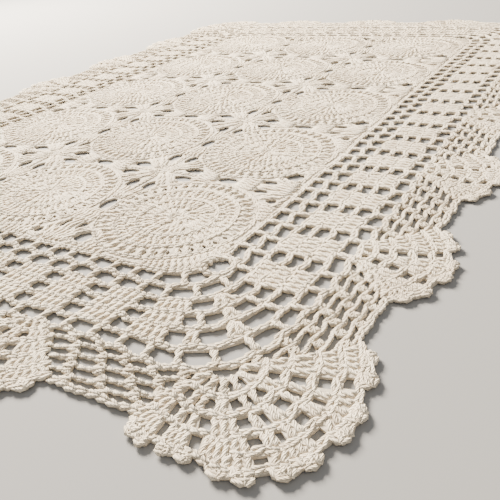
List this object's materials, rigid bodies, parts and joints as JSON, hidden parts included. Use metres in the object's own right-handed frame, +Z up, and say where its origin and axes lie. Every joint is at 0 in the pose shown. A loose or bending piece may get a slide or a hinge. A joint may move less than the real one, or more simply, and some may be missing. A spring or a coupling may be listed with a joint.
{
  "type": "crochet table runner",
  "caption": "Rectangular cotton lace runner of round crocheted medallions with filet rounds, a chain net and a fan edging, lying flat to dress and protect a table top",
  "frame": {"origin": "middle of the runner's outline, on the underside that lies on the table", "axes": "+Z up, +Y along the runner, +X across it"},
  "size_m": [0.4152, 0.5846, 0.0025],
  "materials": {
    "cotton_yarn": "matte"
  },
  "bodies": {
    "root": {"crochet_runner": "cotton_yarn"}
  },
  "joints": []
}
